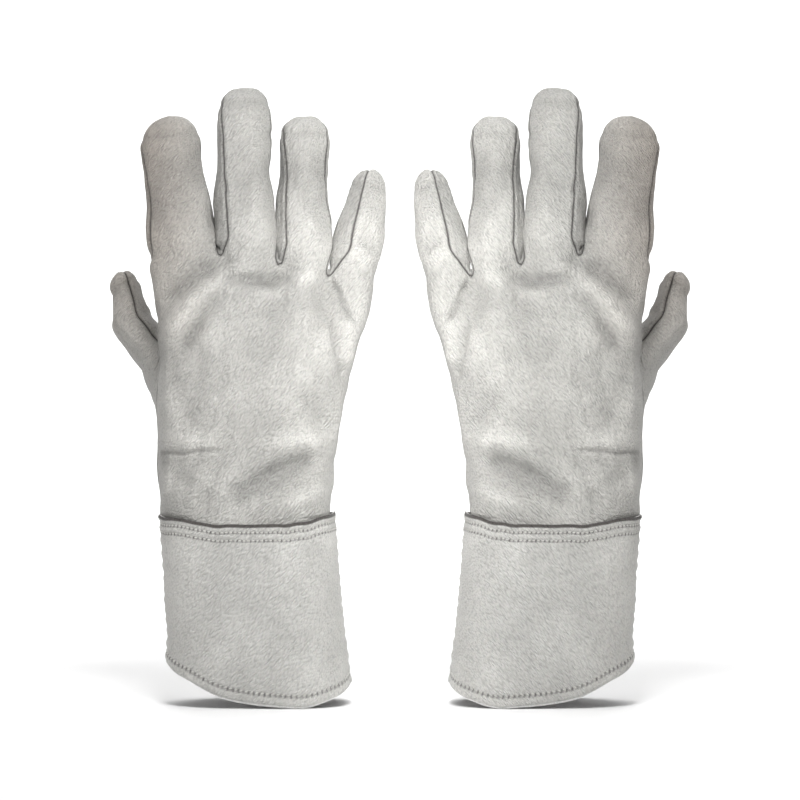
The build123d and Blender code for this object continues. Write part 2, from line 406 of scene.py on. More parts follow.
def hand_surface():
    """The whole leather hand as one surface."""
    surface = Surface()
    top, axes, lines = root_rings()
    rows = hand_rows(top, axes)
    loop, (low, high) = hole_loop(rows[:, THUMB_COLUMNS[0], 2])
    round_hole(rows, loop)
    numbers = surface.add(rows)
    line_numbers = [surface.add(line) for line in lines]
    panels = np.where(np.arange(ALL_COLUMNS) < HALF_COLUMNS, "back", "palm")
    surface.skin(numbers, panels, ["hand"] * (len(rows) - 1))
    grid = surface.faces[0].reshape(len(rows) - 1, ALL_COLUMNS, 4)
    keep = np.ones(grid.shape[:2], bool)
    keep[low:high, THUMB_COLUMNS[0]:THUMB_COLUMNS[1]] = False
    surface.faces[0] = grid[keep]
    surface.panels = list(np.array(surface.panels)[keep.ravel()])
    surface.stretches = list(np.array(surface.stretches)[keep.ravel()])
    for number in range(len(FINGERS)):
        add_finger(surface, number, numbers[-1], line_numbers)
    add_thumb(surface, np.array([numbers[row, column] for row, column in loop]))
    surface.finish()
    return surface


# ---- shaping the leather ----
# Creases and ridges on the back of the hand: points of the line (x, z), half width and height;
# a height below 0 is a valley.
CREASES = (
    # below the knuckles of the index and middle fingers
    (((-15, 251), (-30, 241), (-50, 226)), 4.8, -3.4),
    (((-2, 247), (-24, 232), (-50, 205)), 5.5, 2.6),
    (((-14, 236), (-26, 219), (-40, 196)), 4.2, -3.2),
    (((-18, 240), (2, 239), (22, 239)), 3.4, -2.8),
    # from the web beside the small finger, and down that side of the hand
    (((2, 229), (22, 234), (42, 244)), 5.0, 2.2),
    (((44, 241), (53, 227), (61, 213)), 1.8, -1.8),
    (((46, 222), (49, 200), (54, 180)), 1.8, -1.6),
    (((56, 220), (57, 203), (58, 188)), 5.5, 2.2),
    (((34, 228), (40, 205), (42, 184)), 7.0, 1.0),
    (((60, 262), (72, 256)), 2.5, -1.2),
    (((56, 250), (70, 240)), 2.5, -1.1),
    # small scar
    (((-23, 206), (-21, 192)), 0.8, -0.5),
    # folds above the cuff
    (((-56, 150), (-34, 149), (-12, 151)), 5.5, 1.7),
    (((-56, 143), (-44, 142.2), (-36, 141.4), (-28, 143.2), (-12, 143.6)), 1.2, -1.7),
    (((-56, 137), (-36, 135), (-14, 137)), 5.0, -1.5),
    (((42, 140), (14, 130), (-12, 115)), 6.0, -4.2),
    (((18, 112), (32, 117), (46, 124)), 5.0, 2.8),
    (((10, 147), (28, 149), (44, 151)), 6.0, 1.8),
    (((-44, 132), (-30, 125), (-18, 113)), 5.0, -1.4),
    # slow swells in the middle of the hand
    (((-48, 186), (-36, 172), (-30, 156)), 7.0, -1.4),
    (((28, 178), (38, 162), (40, 150)), 6.0, -1.2),
    (((-6, 208), (12, 198), (30, 194)), 9.0, -1.3),
    (((-24, 178), (-10, 160), (4, 150)), 9.0, 1.2),
)
TIP_CREASE = (10.5, 2.2, 0.6)      # distance below a fingertip, half width, depth
TIP_SHADES = (0.9, -0.7)          # painted shade in that crease and painted light on the cap above it
STRIP_SHADE = 1.3                  # painted shade on the fingers' side strips, which sit between the fingers
STRIP_HOLLOW = 0.9                # how far a strip sinks between its seams
SEAM_GROOVE = (0.9, 0.9)          # half width and depth of a sewn seam
SEAM_PUFF = (2.6, 0.3)            # distance and height of the leather that rises beside a seam
CLOTH_FRAMES = 20
BUCKLE_LIMIT = 0.8                # largest movement kept from the cloth simulation
WAVES = ((34.0, 1.1), (15.0, 0.5), (7.0, 0.14))   # size and height of the leather's unevenness


def vertex_normals(points, faces):
    """Unit normal of each point, from the faces round it."""
    spread = np.cross(points[faces[:, 2]] - points[faces[:, 0]], points[faces[:, 3]] - points[faces[:, 1]])
    normals = np.zeros_like(points)
    for corner in range(4):
        np.add.at(normals, faces[:, corner], spread)
    return normals / np.maximum(np.linalg.norm(normals, axis=1, keepdims=True), 1e-9)


def edges_of(faces):
    """Pairs of point numbers along every face's sides."""
    edges = np.concatenate([faces[:, [a, (a + 1) % 4]] for a in range(4)])
    return edges[edges[:, 0] != edges[:, 1]]


def relax(points, faces, weights, rounds):
    """Moves points towards the mean of their neighbours, by their weights."""
    edges = edges_of(faces)
    edges = np.unique(np.sort(edges, axis=1), axis=0)
    counts = np.bincount(edges.ravel(), minlength=len(points))[:, None]
    for _ in range(rounds):
        total = np.zeros_like(points)
        np.add.at(total, edges[:, 0], points[edges[:, 1]])
        np.add.at(total, edges[:, 1], points[edges[:, 0]])
        points = points + (total / np.maximum(counts, 1) - points) * weights[:, None]
    return points


def distance_to(points, targets):
    """Distance of each point to the nearest of the target points."""
    tree = kdtree.KDTree(len(targets))
    for number, target in enumerate(targets):
        tree.insert(target, number)
    tree.balance()
    return np.array([tree.find(point)[2] for point in points])


def panel_borders(faces, panels, count):
    """Numbers of the points where two panels meet."""
    codes = np.unique(panels, return_inverse=True)[1]
    low = np.full(count, 10 ** 6)
    high = np.full(count, -1)
    for corner in range(4):
        np.minimum.at(low, faces[:, corner], codes)
        np.maximum.at(high, faces[:, corner], codes)
    return np.nonzero((low != high) & (high >= 0))[0]


def line_profile(points, line, width):
    """How near each point is to a line in X and Z, from 0 to 1, fading out at the line's ends."""
    place = points[:, [0, 2]]
    line = np.array(line, float)
    lengths = np.linalg.norm(np.diff(line, axis=0), axis=1)
    total = lengths.sum()
    best = np.zeros(len(points))
    before = 0.0
    for start, end, length in zip(line[:-1], line[1:], lengths):
        share = np.clip(((place - start) @ (end - start)) / length ** 2, 0, 1)
        gap = np.linalg.norm(place - start - share[:, None] * (end - start), axis=1)
        run = (before + share * length) / total
        fade = smooth(run / 0.22) * smooth((1 - run) / 0.22)
        best = np.maximum(best, np.exp(-(gap / width) ** 2) * (0.15 + 0.85 * fade))
        before += length
    return best


def uneven(points, size, seed):
    """Smooth noise between about -1 and 1."""
    shift = Vector((seed * 17.3, seed * 5.1, seed * 9.7))
    return np.array([noise.noise(Vector(point) / size + shift) for point in points]) * 2


def read(items, name, width, kind=float):
    """One property of all the items of a mesh, as an array of rows."""
    values = np.empty(len(items) * width, kind)
    items.foreach_get(name, values)
    return values.reshape(-1, width)


def subdivided(surface):
    """Splits each face of the surface in four and smooths it, as Blender's subdivision does it."""
    mesh = mesh_of("shell", surface.points, surface.faces)
    panel_names, panel_codes = np.unique(surface.panels, return_inverse=True)
    stretch_names, stretch_codes = np.unique(surface.stretches, return_inverse=True)
    for name, codes in (("panel", panel_codes), ("stretch", stretch_codes)):
        mesh.attributes.new(name, "INT", "FACE").data.foreach_set("value", codes.astype(np.int32))
    shell = bpy.data.objects.new("shell", mesh)
    bpy.context.collection.objects.link(shell)
    shell.modifiers.new("smooth", "SUBSURF").levels = 1
    finer = shell.evaluated_get(bpy.context.evaluated_depsgraph_get()).to_mesh()
    surface.points = read(finer.vertices, "co", 3)
    surface.faces = read(finer.loops, "vertex_index", 1, int).reshape(-1, 4)
    surface.panels = panel_names[read(finer.attributes["panel"].data, "value", 1, np.int32)[:, 0]]
    surface.stretches = stretch_names[read(finer.attributes["stretch"].data, "value", 1, np.int32)[:, 0]]
    bpy.data.objects.remove(shell)


def mesh_of(name, points, faces):
    """A mesh from points and faces; a face that names a point twice becomes a triangle."""
    mesh = bpy.data.meshes.new(name)
    corners = [list(dict.fromkeys(face)) for face in faces.tolist()]
    mesh.from_pydata(points.tolist(), [], corners)
    return mesh


def settle_as_cloth(points, faces):
    """Lets the leather buckle under a light pressure and returns how far its points move."""
    mesh = mesh_of("cloth", points * MM, faces)
    cloth = bpy.data.objects.new("cloth", mesh)
    bpy.context.collection.objects.link(cloth)
    pinned = cloth.vertex_groups.new(name="pinned")
    pinned.add(np.nonzero(points[:, 2] < HAND_START + 10)[0].tolist(), 1.0, "REPLACE")
    settings = cloth.modifiers.new("cloth", "CLOTH").settings
    settings.quality = 5
    settings.mass = 0.3
    settings.tension_stiffness = settings.compression_stiffness = 12
    settings.shear_stiffness = 4
    settings.bending_stiffness = 0.4
    settings.shrink_min = -0.05
    settings.use_pressure = True
    settings.uniform_pressure_force = 3
    settings.effector_weights.gravity = 0
    settings.vertex_group_mass = "pinned"
    for number in range(1, CLOTH_FRAMES + 1):
        bpy.context.scene.frame_set(number)
    settled = cloth.evaluated_get(bpy.context.evaluated_depsgraph_get()).to_mesh()
    moved = read(settled.vertices, "co", 3) / MM - points
    bpy.data.objects.remove(cloth)
    bpy.context.scene.frame_set(1)
    return moved


def buckles(points, faces):
    """The cloth's movement without its slow swelling, and no larger than a limit."""
    moved = settle_as_cloth(points, faces)
    everywhere = np.ones(len(points))
    swell = relax(moved, faces, everywhere, 60)
    buckle = relax(moved - swell, faces, everywhere * 0.5, 2)
    size = np.linalg.norm(buckle, axis=1, keepdims=True)
    return buckle * np.minimum(BUCKLE_LIMIT / np.maximum(size, 1e-6), 1)


def smooth_joins(surface):
    """Rounds the joins of the hand with the fingers and the thumb."""
    points = surface.points
    thumb_root = digits["thumb"].place(np.linspace(-8, 14, 8), np.zeros(8), np.zeros(8))
    root_height = np.mean([digits[name].base[2] for name in FINGERS])
    weights = 0.5 * smooth((34 - distance_to(points, thumb_root)) / 12)
    near_roots = 16 - np.abs(points[:, 2] - root_height)
    weights = np.maximum(weights, 0.35 * smooth(near_roots / 10))
    weights[points[:, 2] < HAND_START + 4] = 0
    surface.points = relax(points, surface.faces, weights, 10)


def creased(points, normals):
    """How far waves, creases and ridges lift each point."""
    lift = np.zeros(len(points))
    for number, (size, height) in enumerate(WAVES):
        lift += uneven(points, size, number + 1) * height
    facing = smooth((-normals[:, 1] - 0.1) / 0.4)
    for line, width, height in CREASES:
        lift += line_profile(points, line, width) * height * facing
    return lift


def tip_marks(points):
    """How near each point is to the crease below its fingertip, and to the cap above that crease."""
    below, width, _ = TIP_CREASE
    crease, cap = np.zeros(len(points)), np.zeros(len(points))
    for digit in digits.values():
        centre = digit.place(np.array([digit.length - below]), np.zeros(1), np.zeros(1))[0]
        height = (points - centre) @ digit.axes[2]
        near = np.linalg.norm(points - centre, axis=1) < 24
        crease = np.maximum(crease, near * np.exp(-(height / width) ** 2))
        cap = np.maximum(cap, near * smooth((height - 1.5) / 3))
    return crease, cap


def shaped(surface):
    """Gives the hand's surface its final shape; returns each point's share of seam and of painted shading,
    which puts painted shade in valleys and in the creases below the fingertips and painted light on ridges
    and the fingertip caps.
    """
    smooth_joins(surface)
    surface.points = surface.points + buckles(surface.points, surface.faces)
    subdivided(surface)
    points = surface.points
    normals = vertex_normals(points, surface.faces)
    lift = creased(points, normals)
    crease, cap = tip_marks(points)
    # painted shading: shade painted into valleys and the creases below the fingertips, light painted onto
    # ridges and the fingertip caps
    soil = crease * TIP_SHADES[0] + cap * TIP_SHADES[1] - lift
    border = panel_borders(surface.faces, surface.panels, len(points))
    gap = distance_to(points, points[border])
    width, depth = SEAM_GROOVE
    reach, rise = SEAM_PUFF
    lift -= crease * TIP_CREASE[2]
    strips = np.unique(surface.faces[np.char.startswith(surface.panels, "web")])
    lift[strips] -= STRIP_HOLLOW * smooth(gap[strips] / 4)
    lift -= depth * np.exp(-(gap / width) ** 2)
    lift += rise * np.exp(-((gap - reach) / 1.4) ** 2)
    surface.points = points + normals * lift[:, None]
    return np.exp(-(gap / 0.55) ** 2), soil


# ---- pieces ----
def mirrored(points, sign):
    """Points of the right (sign 1) or the left glove (sign -1) in the shared frame, in metres."""
    placed = (np.asarray(points) + ORIGIN) * MM
    placed[:, 0] *= sign
    return placed


def shell_piece(name, side, points, normals, faces, marks, wall, materials):
    """A closed thin piece of leather: its outer face, its inner face and the rim between them.

    Marks are each point's seam and painted shading, which the leather's material reads.
    """
    sign = 1 if side == "right" else -1
    used, local = np.unique(faces, return_inverse=True)
    local = local.reshape(faces.shape)
    outer, normal = points[used], normals[used]
    count = len(used)
    edges = edges_of(local)
    codes = edges[:, 0] * count + edges[:, 1]
    border = edges[~np.isin(codes, edges[:, 1] * count + edges[:, 0])]
    rim = np.stack([border[:, 1], border[:, 0], border[:, 0] + count, border[:, 1] + count], axis=1)
    every = np.concatenate([local, local[:, ::-1] + count, rim])
    if sign < 0:
        every = every[:, ::-1]
    both = np.concatenate([outer, outer - normal * wall])
    mesh = mesh_of(f"{side}_{name}", mirrored(both, sign), every)
    slots = np.concatenate([np.zeros(len(local), int), np.ones(len(local) + len(rim), int)])
    mesh.polygons.foreach_set("material_index", slots)
    for material in materials:
        mesh.materials.append(material)
    mesh.attributes.new("rest", "FLOAT_VECTOR", "POINT").data.foreach_set("vector", both.ravel())
    for kind, values in zip(("seam", "soil"), marks):
        both_faces = np.concatenate([values[used], values[used]])
        mesh.attributes.new(kind, "FLOAT", "POINT").data.foreach_set("value", both_faces)
    mesh.shade_smooth()
    set_normals(mesh, np.concatenate([normal, -normal]), sign, len(local))
    piece = bpy.data.objects.new(f"{side}_{name}", mesh)
    bpy.context.collection.objects.link(piece)
    return piece


def set_normals(mesh, normals, sign, outer_faces):
    """Gives both faces of a leather piece the whole glove's normals, so that joins don't show."""
    flipped = normals * np.array([sign, 1, 1])
    wanted = flipped[read(mesh.loops, "vertex_index", 1, int)[:, 0]]
    for polygon in mesh.polygons[2 * outer_faces:]:
        wanted[polygon.loop_start:polygon.loop_start + polygon.loop_total] = polygon.normal
    mesh.normals_split_custom_set(wanted.tolist())


def blend_points(side, low, high):
    sign = 1 if side == "right" else -1
    return [tuple(point) for point in mirrored(np.array([low, high]), sign)]


def make_hand(side, surface, normals, marks, leather):
    """All leather pieces of one hand, one for each stretch and panel."""
    for stretch in np.unique(surface.stretches):
        for panel in np.unique(surface.panels[surface.stretches == stretch]):
            faces = surface.faces[(surface.stretches == stretch) & (surface.panels == panel)]
            seam, soil = marks
            # painted shade: the side strips between the fingers are painted darker
            if panel.startswith("web"):
                soil = soil + STRIP_SHADE
            piece = shell_piece(f"{stretch}_{panel}_leather", side, surface.points, normals, faces,
                                (seam, soil), WALL, leather)
            place_on_bodies(piece, side, stretch)
            stand_for(side, stretch, panel)


def place_on_bodies(piece, side, stretch):
    """Works out the two points between which a piece of leather would bend for its stretch, but uses them
    for nothing; only bakes the piece's transform into its mesh.
    """
    if stretch == "hand":
        low, high = (np.array([0.0, 0.0, height]) for height in WRIST_FOLD)
        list(blend_points(side, low, high))
        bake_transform(piece)
        return
    name, part = stretch.split("_")
    digit = digits[name]
    number = 0 if part == "root" else 1
    hinge, fold = digit.hinges[number], digit.folds[number]
    low, high = digit.place(np.array([hinge - fold, hinge + fold]), np.zeros(2), np.zeros(2))
    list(blend_points(side, low, high))
    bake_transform(piece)


def stand_for(side, stretch, panel):
    """Names the CAD nodes that a piece of leather stands for."""
    back = panel in ("back", "thumb_back")
    digit = stretch.split("_")[0]
    if stretch == "hand" and panel in ("back", "palm"):
        nodes = ["hand_back", "wrist_fold"] if back else ["hand_palm", "root_folds"]
    elif stretch == "hand" and panel == "thumb_back":
        nodes = ["thumb_gusset"]
    elif stretch.endswith("root") and back:
        nodes = [f"{digit}_lower", f"{digit}_knuckle_fold"]
    elif stretch.endswith("tip") and (back or panel in ("palm", "thumb_front")):
        nodes = [f"{stretch}_back" if back else f"{stretch}_front"]
    else:
        return
    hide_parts(*[f"{side}_{node}" for node in nodes])


# ---- cuff ----
# Height, middle in X, half width and half depth of the cuff.
CUFF_PROFILE = np.array([
    [-4.0, 5.4, 54.2, 33.2],
    [14.0, 4.6, 52.4, 32.8],
    [40.0, 3.4, 49.8, 32.0],
    [90.0, -0.5, 48.6, 31.0],
    [112.0, -2.2, 49.6, 31.2],
])
# Lower and upper edge of the cuff, as points (x, z).
HEM_LINE = ((-62, 34), (-48.5, 24.5), (-44, 20), (-33, 14.5), (-16, 6.2), (2, 2.2), (19, 0.6), (28, 0),
            (42, 3), (54, 8.5), (59, 13.5), (72, 27))
LAP_LINE = ((-70, 110), (-51, 106.8), (-35, 105.2), (-20, 102.6), (-2, 102.2), (31, 103.7), (47, 107.7),
            (66, 112))
CUFF_WALL = 1.4
FACING_WALL = 0.8
FACING_ROWS = 22             # how many of the cuff's rows the facing covers
FACING_SHOWS = 1.1           # how far it shows below the leather
CUFF_COLUMNS = 164           # round each half of the cuff
CUFF_WAVES = ((40.0, 0.9), (16.0, 0.35), (7.0, 0.12))   # size and height of its unevenness
RAW_EDGE_AND_GAP_SHADE = 1.6               # height of the band below the lapped edge that is painted dark: the dark cut edge and the painted shadow of the gap between the cuff's edge and the hand
EDGE_WAVE = 0.45             # how far the cut edge wanders
HEM_ROWS = np.arange(0, 12.1, 1.0)         # distances above the hem
LAP_ROWS = np.arange(13.5, -0.1, -0.75)    # distances below the lapped edge
MIDDLE_ROWS = 58
HEM_SEAM = 6.0
LAP_SEAMS = (4.5, 9.0)
HEM_PITCH = 3.0
HEM_SLANT = 0.6              # how far each hem stitch runs up or down from its seam
LAP_PITCH = 2.5
TACK = (14, slice(124, 136), 1.7)          # row, columns and pitch of the short back-tack
THREAD_RADIUS = 0.48
HEM_ROW = int(np.argmin(np.abs(HEM_ROWS - HEM_SEAM)))
LAP_SEAM_ROWS = [-1 - int(np.argmin(np.abs(LAP_ROWS[::-1] - drop))) for drop in LAP_SEAMS]


def flowing(place, knots):
    """Smooth line through knots: its height at each place."""
    across, height = np.array(knots, float).T
    slopes = np.gradient(height, across)
    number = np.clip(np.searchsorted(across, place) - 1, 0, len(across) - 2)
    gap = across[number + 1] - across[number]
    share = (place - across[number]) / gap
    return (height[number] * (1 + 2 * share) * (1 - share) ** 2
            + height[number + 1] * share ** 2 * (3 - 2 * share)
            + gap * share * (1 - share) * (slopes[number] * (1 - share) - slopes[number + 1] * share))


def cuff_skin(angles, heights):
    """Points on the plain cuff. Angle 0 is the thumb side, 90 degrees the back."""
    middle, width, depth = (np.interp(heights, CUFF_PROFILE[:, 0], CUFF_PROFILE[:, n]) for n in (1, 2, 3))
    cosine, sine = np.cos(angles), np.sin(angles)
    power = HAND_ROUNDNESS
    reach = (np.abs(cosine) ** power + np.abs(sine) ** power) ** (-1 / power)
    return np.stack([middle - cosine * width * reach, -sine * depth * reach, heights], axis=-1)


def cuff_rows(angles):
    """Heights of the cuff's rows: fixed distances above the hem, then below the lapped edge."""
    across = cuff_skin(angles, np.full(angles.shape, 20.0))[:, 0]
    hem = np.maximum(flowing(across, HEM_LINE), 0) + FACING_SHOWS
    top = cuff_skin(angles, np.full(angles.shape, 104.0))
    lap = flowing(top[:, 0], LAP_LINE) + EDGE_WAVE * uneven(top, 9.0, 31)
    low = hem + HEM_ROWS[:, None]
    high = lap - LAP_ROWS[:, None]
    shares = np.linspace(0, 1, MIDDLE_ROWS + 2)[1:-1, None]
    return np.vstack([low, low[-1] * (1 - shares) + high[0] * shares, high]), hem, lap


def run_along(line):
    """Distance of each point of a line from its start."""
    return np.concatenate([[0], np.cumsum(np.linalg.norm(np.diff(line, axis=0), axis=1))])


def holes(line, pitch):
    """How near each point of a row is to a needle hole, from 0 to 1."""
    return 0.5 + 0.5 * np.cos(2 * np.pi * run_along(line) / pitch)


def cuff_lift(points, heights, hem, lap, edge_gap):
    """How far the cuff's leather stands off its plain shape."""
    above = heights - hem
    below = lap - heights
    lift = np.zeros(heights.shape)
    for number, (size, height) in enumerate(CUFF_WAVES):
        lift += uneven(points.reshape(-1, 3), size, number + 11).reshape(heights.shape) * height
    # rolled hem and the rows of stitches that pull into the leather
    hem_bites = 0.6 + 0.4 * holes(points[HEM_ROW], HEM_PITCH)
    lap_bites = 0.6 + 0.4 * holes(points[LAP_SEAM_ROWS[0]], LAP_PITCH)
    lift += 0.45 * smooth((HEM_SEAM - above) / 1.5 + 0.5) - 0.8 * smooth((1.2 - above) / 1.2)
    lift -= 0.75 * np.exp(-((above - HEM_SEAM) / 0.8) ** 2) * hem_bites
    for drop in LAP_SEAMS:
        lift -= 0.6 * np.exp(-((below - drop) / 0.75) ** 2) * lap_bites
    lift += 0.35 * np.exp(-((below - 6.7) / 1.3) ** 2) + 0.5 * np.exp(-((below - 1.2) / 2.0) ** 2)
    # puckered seam on each side
    pucker = np.sin(2 * np.pi * heights / 6.4 + 1.2 * np.sin(heights / 9.0))
    lift += (0.32 * pucker + 0.5) * np.exp(-((edge_gap - 2.2) / 2.4) ** 2)
    lift -= 0.9 * np.exp(-(edge_gap / 1.0) ** 2)
    return lift


def grid_faces(rows, columns):
    """Four-sided faces of a grid of points."""
    numbers = np.arange(rows * columns).reshape(rows, columns)
    low, high = numbers[:-1], numbers[1:]
    return np.stack([low[:, :-1], low[:, 1:], high[:, 1:], high[:, :-1]], axis=-1).reshape(-1, 4)


def cuff_panel(first_angle):
    """Grid of points of one half of the cuff, its faces, and its shares of seam and of painted shading."""
    angles = np.radians(first_angle + np.linspace(0, 180, CUFF_COLUMNS + 1))
    heights, hem, lap = cuff_rows(angles)
    spread = np.broadcast_to(angles, heights.shape)
    points = cuff_skin(spread, heights)
    faces = grid_faces(*heights.shape)
    normals = vertex_normals(points.reshape(-1, 3), faces)
    run = run_along(points[MIDDLE_ROWS])
    edge_gap = np.minimum(run, run[-1] - run)
    lift = cuff_lift(points, heights, hem, lap, edge_gap)
    points = points + normals.reshape(points.shape) * lift[..., None]
    # the band just below the lapped edge is painted dark: partly the dark cut edge, partly painted shadow of
    # the gap between the cuff's edge and the hand
    dark = np.maximum(0.9 * np.exp(-(edge_gap / 0.5) ** 2), 0.95 * (lap - heights < RAW_EDGE_AND_GAP_SHADE))
    for row, pitch in ((HEM_ROW, HEM_PITCH), *((row, LAP_PITCH) for row in LAP_SEAM_ROWS)):
        marks = 0.15 + 0.65 * holes(points[row], pitch) ** 2
        dark[row] = np.maximum(dark[row], marks)
        dark[row - 1] = np.maximum(dark[row - 1], marks)
    # painted shading: the cuff's hollows and stitch rows are painted darker and its rises lighter
    return points, faces, (dark.ravel(), -0.8 * lift.ravel())


def stitch_mesh(starts, ends, normals, radius):
    """Short rounded stitches, each a bent tube that dips into the leather at both ends."""
    sides, rings = 7, 7
    share = np.linspace(0, 1, rings)
    swell = np.sin(np.pi * np.clip(share, 0.04, 0.96)) ** 0.5
    turns = np.arange(sides) / sides * 2 * np.pi
    points, faces = [], []
    for count, (start, end, normal) in enumerate(zip(starts, ends, normals)):
        across = unit(np.cross(end - start, normal))
        line = start + (end - start) * share[:, None] + normal * (radius * (1.7 * swell - 1.0))[:, None]
        circle = across * np.cos(turns)[:, None] + normal * np.sin(turns)[:, None]
        points.append((line[:, None] + circle[None] * radius * swell[:, None, None]).reshape(-1, 3))
        number = (np.arange(rings * sides) + count * rings * sides).reshape(rings, sides)
        low, high = number[:-1], number[1:]
        faces += np.stack([low, np.roll(low, -1, 1), np.roll(high, -1, 1), high], -1).reshape(-1, 4).tolist()
        faces += [number[0][::-1].tolist(), number[-1].tolist()]
    return np.concatenate(points), faces


def stitched_row(line, normals, pitch, slant=0.0, gap=0.28):
    """Starts, ends and normals of stitches along a line of points."""
    run = run_along(line)
    marks = np.arange(int(run[-1] / pitch)) * pitch
    slack = pitch * gap / 2

    def at(places, values):
        return np.stack([np.interp(places, run, values[:, axis]) for axis in range(3)], axis=1)

    tilt = np.array([0.0, 0.0, slant])
    starts, ends = at(marks + slack, line) - tilt, at(marks + pitch - slack, line) + tilt
    return starts, ends, unit(at(marks + pitch / 2, normals))


def thread_piece(name, side, stitches, radius, material):
    """One piece with all the stitches of some rows."""
    starts, ends, normals = (np.concatenate(part) for part in zip(*stitches))
    points, faces = stitch_mesh(starts, ends, normals, radius)
    sign = 1 if side == "right" else -1
    mesh = bpy.data.meshes.new(f"{side}_{name}")
    if sign < 0:
        faces = [face[::-1] for face in faces]
    mesh.from_pydata(mirrored(points, sign).tolist(), [], faces)
    mesh.attributes.new("rest", "FLOAT_VECTOR", "POINT").data.foreach_set("vector", points.ravel())
    mesh.shade_smooth()
    mesh.materials.append(material)
    piece = bpy.data.objects.new(f"{side}_{name}", mesh)
    bpy.context.collection.objects.link(piece)
    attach(piece, f"{side}_cuff")
    return piece


def make_cuff(side, leather, facing, thread):
    """Both panels of a cuff, with their facings and stitches."""
    lap_stitches, hem_stitches = [], []
    for name, first_angle in (("back", 0), ("palm", 180)):
        points, faces, marks = cuff_panel(first_angle)
        flat = points.reshape(-1, 3)
        flat_normals = vertex_normals(flat, faces)
        normals = flat_normals.reshape(points.shape)
        panel = shell_piece(f"cuff_{name}_leather", side, flat, flat_normals, faces, marks,
                            CUFF_WALL, leather)
        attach(panel, f"{side}_cuff")
        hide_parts(f"{side}_cuff_{name}")
        lap_stitches += [stitched_row(points[row], normals[row], LAP_PITCH) for row in LAP_SEAM_ROWS]
        hem_stitches.append(stitched_row(points[HEM_ROW], normals[HEM_ROW], HEM_PITCH, HEM_SLANT))
        if name == "back":
            row, columns, pitch = TACK
            hem_stitches.append(stitched_row(points[row, columns], normals[row, columns], pitch))
        make_facing(name, side, points[:FACING_ROWS], normals[:FACING_ROWS], facing)
    lap = thread_piece("lap_thread", side, lap_stitches, THREAD_RADIUS, thread)
    hem = thread_piece("hem_stitches", side, hem_stitches, THREAD_RADIUS * 1.15, thread)
    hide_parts(f"{side}_cuff_thread")
    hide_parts(f"{side}_hem_thread")


def make_facing(name, side, points, normals, materials):
    """The strip inside the hem, which shows a little below it."""
    inward = unit(normals * np.array([1.0, 1.0, 0.0])) * -(CUFF_WALL + 0.05)
    inner = (points + inward).reshape(-1, 3)
    inner[:, 2] -= FACING_SHOWS
    faces = grid_faces(*points.shape[:2])
    lining = shell_piece(f"cuff_{name}_facing", side, inner, vertex_normals(inner, faces), faces,
                         np.zeros((2, len(inner))), FACING_WALL, materials)
    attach(lining, f"{side}_cuff")
    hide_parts(f"{side}_cuff_facing")


# ---- materials ----
HAND_TINT = (0.60, 0.59, 0.56)
CUFF_TINT = (0.62, 0.612, 0.585)
FACING_TINT = (0.88, 0.875, 0.86)
DIRT_AND_SHADE = (0.66, 0.60, 0.56, 1)         # what dirt and painted shade leave of the light on the thumb side
SEAM_DARK = (0.10, 0.09, 0.085, 1)     # what a seam leaves of it, and what the dark cut edge with its painted gap shadow leaves at the cuff's lapped edge


def node_tools(material):
    """The material's tree, its shader and a function that adds a node with its settings."""
    material.use_nodes = True
    tree = material.node_tree

    def add(kind, **values):
        node = tree.nodes.new(kind)
        for name, value in values.items():
            if name.startswith("in_"):
                key = name[3:].replace("_", " ")
                node.inputs[int(key) if key.isdigit() else key].default_value = value
            else:
                setattr(node, name, value)
        return node

    return tree, tree.nodes["Principled BSDF"], add


def leather_grain(add, link, rest, strength):
    """Fine cells drawn out on the slant; returns how far each place is from its cell's middle."""
    slant = add("ShaderNodeMapping", vector_type="TEXTURE", in_Rotation=(0, math.radians(40), 0),
                in_Scale=(0.8, 0.8, 2.6))
    link(rest.outputs["Vector"], slant.inputs["Vector"])
    bent = add("ShaderNodeTexNoise", in_Scale=0.5, in_Detail=2.0)
    link(slant.outputs["Vector"], bent.inputs["Vector"])
    mixed = add("ShaderNodeMixRGB", blend_type="LINEAR_LIGHT", in_Fac=0.2)
    link(slant.outputs["Vector"], mixed.inputs["Color1"])
    link(bent.outputs["Color"], mixed.inputs["Color2"])
    cells = add("ShaderNodeTexVoronoi", feature="SMOOTH_F1", in_Scale=1.0, in_Smoothness=0.12)
    link(mixed.outputs["Color"], cells.inputs["Vector"])
    fine = add("ShaderNodeTexNoise", in_Scale=2.4, in_Detail=2.0, in_Roughness=0.5)
    link(mixed.outputs["Color"], fine.inputs["Vector"])
    height = add("ShaderNodeMath", operation="MULTIPLY_ADD")
    height.inputs[1].default_value = -1.5
    link(cells.outputs["Distance"], height.inputs[0])
    link(fine.outputs["Fac"], height.inputs[2])
    bump = add("ShaderNodeBump", in_Strength=min(strength, 1.0), in_Distance=0.001)
    link(height.outputs["Value"], bump.inputs["Height"])
    return cells.outputs["Distance"], bump.outputs["Normal"]


